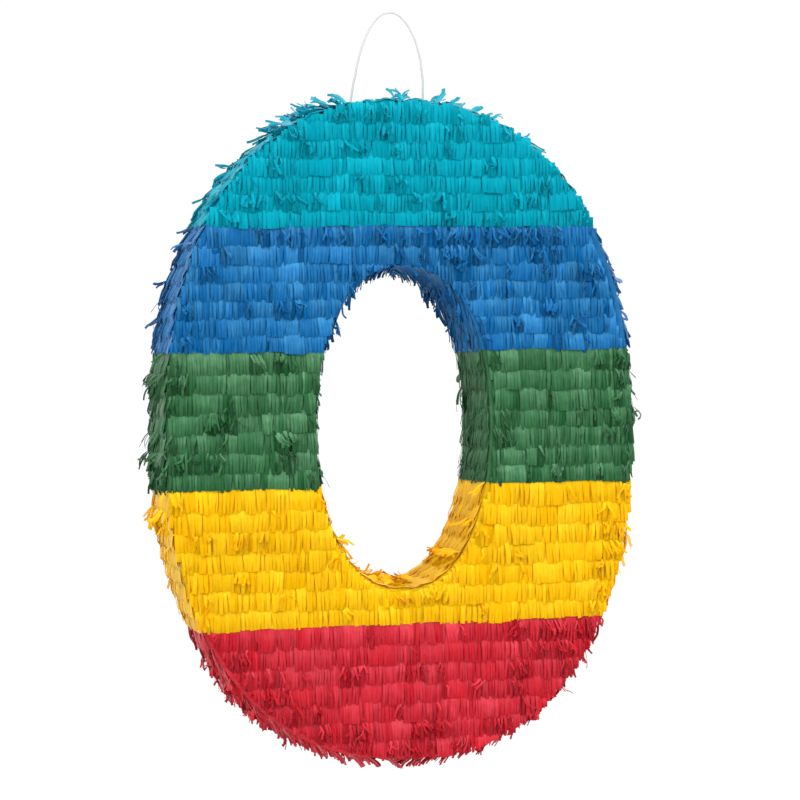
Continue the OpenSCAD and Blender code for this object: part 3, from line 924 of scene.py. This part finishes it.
def face_piece(name, cad_node, body, band, side, seed, halves=(-1, 1), on_flap=False):
    face = Face(side)
    made = Strands(seed, BAND_NAMES[band])
    mess = face_mess(face)
    pitch = (BORDERS[band] - BORDERS[band + 1]) / ROWS_PER_BAND
    low = -HALF_W if -1 in halves else 0.0
    high = HALF_W if 1 in halves else 0.0

    def hang_over(w, ends):
        if on_flap or side > 0:
            return made.rng.uniform(-1, 0.5, len(w)) * MM
        x, z = face.flat(np.minimum(ends, 1.0), w)
        by_hole = (np.abs(x) < HOLE_HALF_W + 8 * MM) & (np.abs(z - HOLE_RAISE) < HOLE_HALF_H + 8 * MM)
        short, long = made.rng.uniform(2.6, 3.6, len(w)), made.rng.uniform(1.5, 6, len(w))
        return np.where(by_hole, short, long) * MM

    for i in range(ROWS_PER_BAND):
        s_top = -(BORDERS[band] - i * pitch)
        s_low = s_top + pitch
        begin = s_top - (12 * MM if band == 0 and i == 0 else 0)
        overlap = 0.8 if i == ROWS_PER_BAND - 1 else 3.0
        made.row(face, low, high, s_top, s_low, FACE_TIP, mess, overlap,
                 reach=face_reach(face, begin, s_low, on_flap, hang_over, made.rng))
    made.piece(name, cad_node, body)


EXITS = (CORD_ROUTE[0][0] * MM, CORD_ROUTE[-1][0] * MM)


def cord_gap(wall, s_top, s_low):
    """Strands leave room where the cord comes out of the top."""
    places = [abs(x) for x in EXITS if x * wall.side > 0]
    near = any(s_top - 2 * MM < p < s_low + 8 * MM for p in places)
    return lambda w: near & (np.abs(w) < 3 * MM)


def wall_piece(name, cad_node, band, hole, sides, seed):
    made = Strands(seed, BAND_NAMES[band])
    first, last = (1, 3) if hole else (0, 4)
    for side in sides:
        wall = Wall(hole, side)
        mess = wall_mess(wall)
        rows = wall.rows(band, first, last)
        for s_top, s_low in rows:
            overlap = -3.5 if s_low == rows[-1][1] and band != last else 3.0
            over_edge = side < 0 and not hole and wall.down(s_top) < 0.2
            far = FACE_Y + (2 if over_edge else -1) * MM
            made.row(wall, -far, far, s_top, s_low,
                     INNER_TIP if hole else OUTER_TIP, mess, overlap,
                     gap_at=cord_gap(wall, s_top, s_low) if band == 0 else None)
    made.piece(name, cad_node, "shell")


def halves_of(split):
    """The name ending and sides of each piece of a ring that may come in a left and a right half."""
    return {"_left": (-1,), "_right": (1,)} if split else {"": (-1, 1)}


def make_fringe():
    seed = 100
    for side, word in ((-1, "front"), (1, "back")):
        for band, colour in enumerate(BAND_NAMES):
            for half, sides in halves_of(colour == "green").items():
                cad = f"{colour}_{word}{half}"
                face_piece(cad + "_paper", cad, "shell", band, side, seed, sides)
                seed += 1
    face_piece("flap_paper", "flap_fringe", "flap", 0, 1, seed, on_flap=True)
    for band, colour in enumerate(BAND_NAMES):
        for half, sides in halves_of(colour not in ("turquoise", "red")).items():
            seed += 1
            cad = f"{colour}_outer{half}"
            wall_piece(cad + "_paper", cad, band, False, sides, seed)
    for band in (1, 2, 3):
        for half, sides in halves_of(band == 2).items():
            seed += 1
            cad = f"{BAND_NAMES[band]}_inner{half}"
            wall_piece(cad + "_paper", cad, band, True, sides, seed)


make_fringe()


# ---------------- paper folded over the edges
# The folded strip's section: how far in from the edge on the face, or down the wall (below 0),
# and its height
FOLD_SECTION = [(4.6, 0.5), (3.3, 1.0), (1.8, 1.6), (0.4, 1.9), (-0.4, 1.9), (-2.0, 1.6), (-3.8, 0.5)]
FOLD_STEP = 1.3 * MM


def band_runs(points, band, first, last):
    """The stretches of a closed outline that lie in one band's colour."""
    level = points[:, 1] - points[:, 0] * math.tan(TILT)
    top = np.inf if band == first else BORDERS[band]
    low = -np.inf if band == last else BORDERS[band + 1]
    inside = (level <= top) & (level > low)
    if inside.all():
        return [points]
    turn = int(np.argmin(inside))
    rolled, inside = np.roll(points, -turn, axis=0), np.roll(inside, -turn)
    edges = np.flatnonzero(np.diff(np.concatenate([[0], inside.astype(int), [0]])))
    return [rolled[max(a - 1, 0):b + 1] for a, b in zip(edges[::2], edges[1::2]) if b - a > 3]


def closed_outline(hole):
    """The outline of a face's outer edge or of its hole, in even steps, around its own centre."""
    line = np.stack(superellipse(np.linspace(0, 2 * math.pi, 4001), hole), -1)
    return resampled(line, int(along(line)[-1] / FOLD_STEP))[:-1]


def fold_strip(run, hole, side, rng):
    """One wrinkled strip of paper folded over a face's edge: its points, faces and map."""
    tangent = np.gradient(run, axis=0)
    tangent /= np.linalg.norm(tangent, axis=1)[:, None]
    out = np.stack([tangent[:, 1], -tangent[:, 0]], -1) * (-1 if hole else 1)
    count, across = len(run), len(FOLD_SECTION)
    inset, high = np.array(FOLD_SECTION).T
    on_face = inset >= 0
    waves = rng.normal(0, 1, (count, across))
    for _ in range(2):
        waves[1:-1] = 0.25 * waves[:-2] + 0.5 * waves[1:-1] + 0.25 * waves[2:]
    lift = (high[None] * (0.5 if hole else 1) + 0.32 * waves) * MM
    lift = np.maximum(lift, 0.45 * MM)
    slide = (np.abs(inset)[None] + 0.5 * np.roll(waves, 3, axis=0) * (np.abs(inset) > 3)) * MM

    def layer(thin):
        up = lift - thin
        flat = np.where(on_face, -slide, up)
        y = side * (FACE_Y + np.where(on_face, up, -slide))
        edge = run[:, None] + out[:, None] * flat[..., None]
        return np.stack([edge[..., 0], y, edge[..., 1] + CENTRE_Z], -1)

    points = np.concatenate([layer(0.0), layer(0.25 * MM)[:, ::-1]], axis=1)
    quads, ends = tube_faces(count, 2 * across)
    if (side > 0) == hole:
        quads, ends = quads[:, ::-1], ends[:, ::-1]
    u = np.concatenate([-inset, -inset[::-1]])[None] + np.zeros((count, 1))
    v = (along(run) / MM)[:, None] + np.zeros((1, 2 * across))
    return points.reshape(-1, 3), quads, ends, np.stack([u, v], -1).reshape(-1, 2)


def fold_piece(band, seed):
    """All of one colour's folded strips, in place of its bindings."""
    colour = BAND_NAMES[band]
    rng = np.random.default_rng(seed)
    points, quads, ends, uvs, tints, first = [], [], [], [], [], 0
    for hole in ((False, True) if band in (1, 2, 3) else (False,)):
        for side in (-1, 1):
            for run in band_runs(closed_outline(hole), band, 1 if hole else 0, 3 if hole else 4):
                p, q, e, uv = fold_strip(run, hole, side, rng)
                points.append(p)
                quads.append(q + first)
                ends.append(e + first)
                uvs.append(uv + rng.uniform(0, 90))
                wave = np.sin(along(run) / 0.017 + rng.uniform(0, 6))
                tone = 1 + 0.05 * np.repeat(wave, len(p) // len(run))
                tints.append(np.stack([0.47 * tone, np.full(len(p), 0.35), np.zeros(len(p))], -1))
                first += len(p)
    made = add_mesh(colour + "_folded_edges", np.concatenate(points), quads + ends, PAPERS[colour],
                    smooth=True)
    dress(made.data, np.concatenate(uvs), np.concatenate(tints))
    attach(made, "shell")
    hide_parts(colour + "_bindings")


for band in range(len(BAND_NAMES)):
    fold_piece(band, 300 + band)


# ---------------- CAD nodes that stay
def paint(name, material):
    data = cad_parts[name].data
    data.materials.clear()
    data.materials.append(material)


def tissue_over_crease(material):
    """Turquoise tissue is glued over the flap's crease, on the outer side of the boards."""
    tree = material.node_tree
    base = tree.nodes["Principled BSDF"].inputs["Base Color"]
    place = node(tree, "SeparateXYZ")
    tree.links.new(by_place(tree), place.inputs[0])
    x, y, z = place.outputs
    aside = math_node(tree, "ABSOLUTE", x, 0.0)
    away = math_node(tree, "ABSOLUTE", math_node(tree, "SUBTRACT", z, float(FLAP_HIGH.z)), 0.0)
    across = math_node(tree, "LESS_THAN", aside, FLAP_HALF + 3 * MM)
    strip = times(tree, across, math_node(tree, "LESS_THAN", away, 12 * MM))
    strip = times(tree, strip, math_node(tree, "GREATER_THAN", y, FACE_Y - 0.6 * MM))
    board = base.links[0].from_socket
    tree.links.new(mix_colour(tree, "MIX", strip, board, (0.003, 0.30, 0.40)), base)
    return material


for name in ("front_panel", "outer_wall_left", "outer_wall_right", "hole_wall_left",
             "hole_wall_right", "hanger_patch"):
    paint(name, KRAFT)
CREASED = tissue_over_crease(cardboard_material("creased_cardboard", KRAFT_COLOUR))
for name in ("back_panel", "fill_flap"):
    paint(name, CREASED)
for name in ("outer_seam_tape", "hole_seam_tapes"):
    paint(name, TAPE)
paint("hanger_knots", CORD)


# ---------------- floor and light
FLOOR_DROP = 0.70
FLOOR_RADIUS = 3.9
FLOOR_SIDES = 96


def make_stage():
    """A round pale floor well below the hanging shell. It ends short of the camera's own view."""
    low = CAD_BOX[0][2] - FLOOR_DROP
    turn = [2 * math.pi * i / FLOOR_SIDES for i in range(FLOOR_SIDES)]
    rim = [(FLOOR_RADIUS * math.cos(a), FLOOR_RADIUS * math.sin(a), low) for a in turn]
    material, tree, shader = new_material("pale_floor")
    cloud = noise(tree, by_place(tree), 3, 2)
    tree.links.new(grey_of(tree, spread(tree, cloud, 0.04, 0.86)), shader.inputs["Base Color"])
    shader.inputs["Roughness"].default_value = 0.9
    floor = add_mesh("floor", rim, [np.arange(FLOOR_SIDES)[None]], material)


def area_light(name, place, target, size, power):
    data = bpy.data.lights.new(name, "AREA")
    data.shape = "DISK"
    data.size = size
    data.energy = power
    lamp = bpy.data.objects.new(name, data)
    bpy.context.scene.collection.objects.link(lamp)
    lamp.location = place
    lamp.rotation_euler = (Vector(target) - Vector(place)).to_track_quat("-Z", "Y").to_euler()


def make_world():
    """A white studio whose light comes mostly from above. It looks plain white behind the object."""
    world = bpy.data.worlds.new("studio")
    bpy.context.scene.world = world
    world.use_nodes = True
    tree = world.node_tree
    background = tree.nodes["Background"]
    background.inputs["Color"].default_value = (1, 1, 1, 1)
    way = node(tree, "SeparateXYZ")
    tree.links.new(node(tree, "TexCoord").outputs["Generated"], way.inputs[0])
    dome = node(tree, "MapRange")
    tree.links.new(way.outputs["Z"], dome.inputs["Value"])
    for socket, value in (("From Min", -0.4), ("From Max", 0.9), ("To Min", 0.75), ("To Max", 1.30)):
        dome.inputs[socket].default_value = value
    seen = node(tree, "LightPath").outputs["Is Camera Ray"]
    strength = math_node(tree, "MAXIMUM", dome.outputs[0], times(tree, seen, 1.03))
    tree.links.new(strength, background.inputs["Strength"])


def make_light():
    centre = (0, 0, CENTRE_Z)
    area_light("key", (-1.6, -2.6, 1.5), centre, 1.8, 80)
    area_light("fill", (1.9, -1.7, 0.2), centre, 1.2, 18)
    area_light("back", (1.4, 2.2, 1.6), centre, 1.8, 70)


make_world()
make_stage()
make_light()
bpy.context.scene.view_settings.view_transform = "Standard"
bpy.context.scene.view_settings.look = "None"
